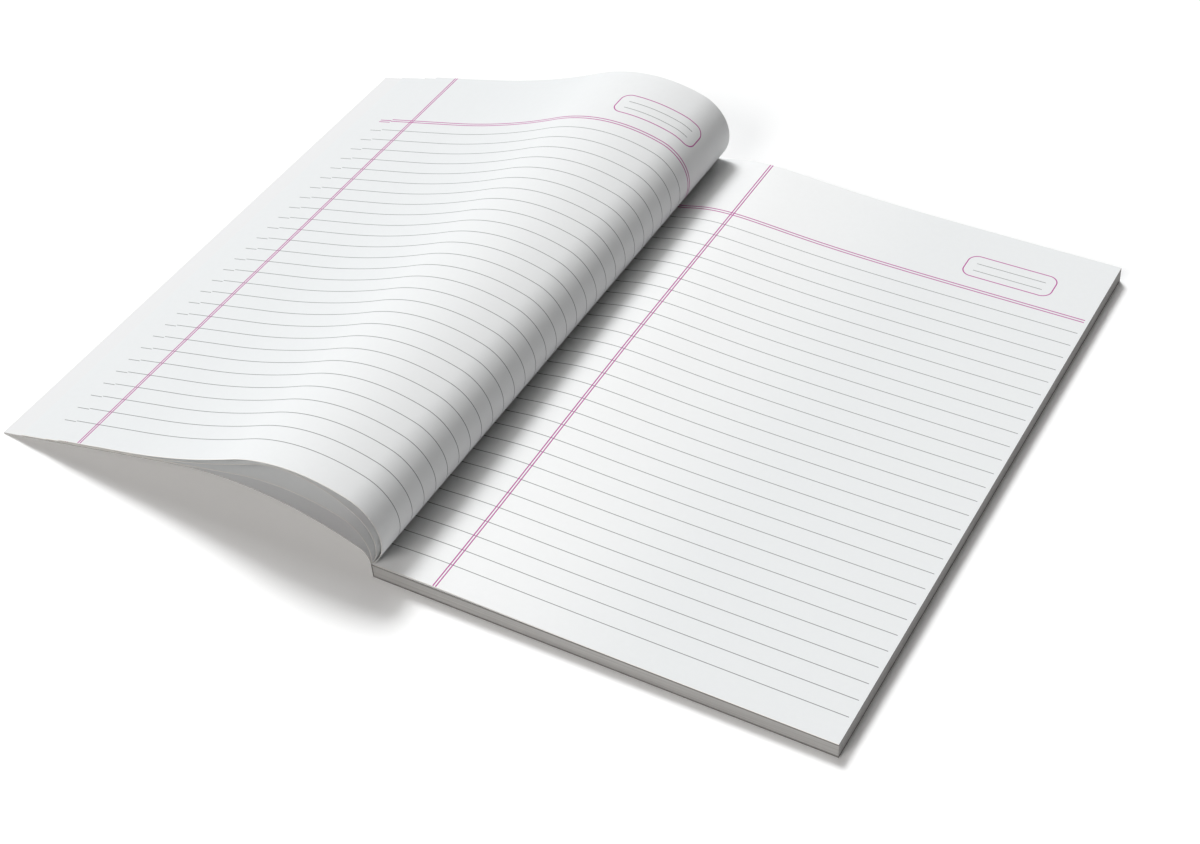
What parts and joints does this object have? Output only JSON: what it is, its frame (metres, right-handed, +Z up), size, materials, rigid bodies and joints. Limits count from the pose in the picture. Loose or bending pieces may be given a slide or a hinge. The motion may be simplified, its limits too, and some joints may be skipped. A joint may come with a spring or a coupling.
{
  "type": "stapled exercise book",
  "caption": "Open stapled exercise book with ruled pages: card cover with square spine, folded sheets nested on wire staples, leaves turned over the front cover in a curl.",
  "frame": {"origin": "on the resting surface, below the centre fold, at half the page height", "axes": "+X from the fold towards the right-hand fore-edge, +Y towards the head of the page, +Z up"},
  "size_m": [0.3915, 0.297, 0.0447],
  "materials": {
    "page_paper": "uncoated writing paper",
    "cover_card": "smooth thin card",
    "staple_wire": "bright drawn wire"
  },
  "bodies": {
    "block": {"spine": "cover_card", "staple_head": "staple_wire", "staple_tail": "staple_wire", "sheet_01_back": "page_paper", "sheet_02_back": "page_paper", "sheet_03_back": "page_paper", "sheet_04": "page_paper", "sheet_05": "page_paper", "sheet_06": "page_paper", "sheet_07": "page_paper", "sheet_08": "page_paper", "sheet_09": "page_paper", "sheet_10": "page_paper", "sheet_11": "page_paper", "sheet_12": "page_paper", "sheet_13": "page_paper", "sheet_14": "page_paper", "sheet_15": "page_paper", "sheet_16": "page_paper", "sheet_17": "page_paper", "sheet_18": "page_paper", "sheet_19": "page_paper", "sheet_20": "page_paper", "sheet_21": "page_paper", "sheet_22": "page_paper", "sheet_23": "page_paper", "sheet_24": "page_paper", "sheet_25": "page_paper", "sheet_26": "page_paper", "sheet_27": "page_paper", "sheet_28": "page_paper", "sheet_29": "page_paper", "sheet_30": "page_paper", "sheet_31": "page_paper", "sheet_32": "page_paper", "sheet_33": "page_paper", "sheet_34": "page_paper", "sheet_35": "page_paper", "sheet_36": "page_paper", "sheet_37": "page_paper", "sheet_38": "page_paper", "sheet_39": "page_paper", "sheet_40": "page_paper"},
    "front_cover": {"front_cover": "cover_card"},
    "first_leaf": {"first_leaf": "page_paper"},
    "second_leaf": {"second_leaf": "page_paper"},
    "third_leaf": {"third_leaf": "page_paper"},
    "fourth_leaf": {"fourth_leaf": "page_paper"},
    "back_cover": {"back_cover": "cover_card"}
  },
  "joints": [
    {"name": "front_cover_hinge", "type": "hinge", "parent": "block", "child": "front_cover", "pos_m": [-0.00365, 0, 0.00729], "axis": [0, 1, 0], "range_deg": [0, 22]},
    {"name": "first_leaf_hinge", "type": "hinge", "parent": "front_cover", "child": "first_leaf", "pos_m": [-0.00347, 0, 0.00819], "axis": [0, -1, 0], "range_deg": [-12, 0]},
    {"name": "second_leaf_hinge", "type": "hinge", "parent": "first_leaf", "child": "second_leaf", "pos_m": [-0.00311, 0, 0.00819], "axis": [0, -1, 0], "range_deg": [-14, 0]},
    {"name": "third_leaf_hinge", "type": "hinge", "parent": "second_leaf", "child": "third_leaf", "pos_m": [-0.00275, 0, 0.00819], "axis": [0, -1, 0], "range_deg": [-20, 0]},
    {"name": "fourth_leaf_hinge", "type": "hinge", "parent": "block", "child": "fourth_leaf", "pos_m": [-0.0023, 0, 0.00729], "axis": [0, -1, 0], "range_deg": [0, 20]},
    {"name": "back_cover_hinge", "type": "hinge", "parent": "block", "child": "back_cover", "pos_m": [-0.00365, 0, 0], "axis": [0, 1, 0], "range_deg": [0, 170]}
  ]
}
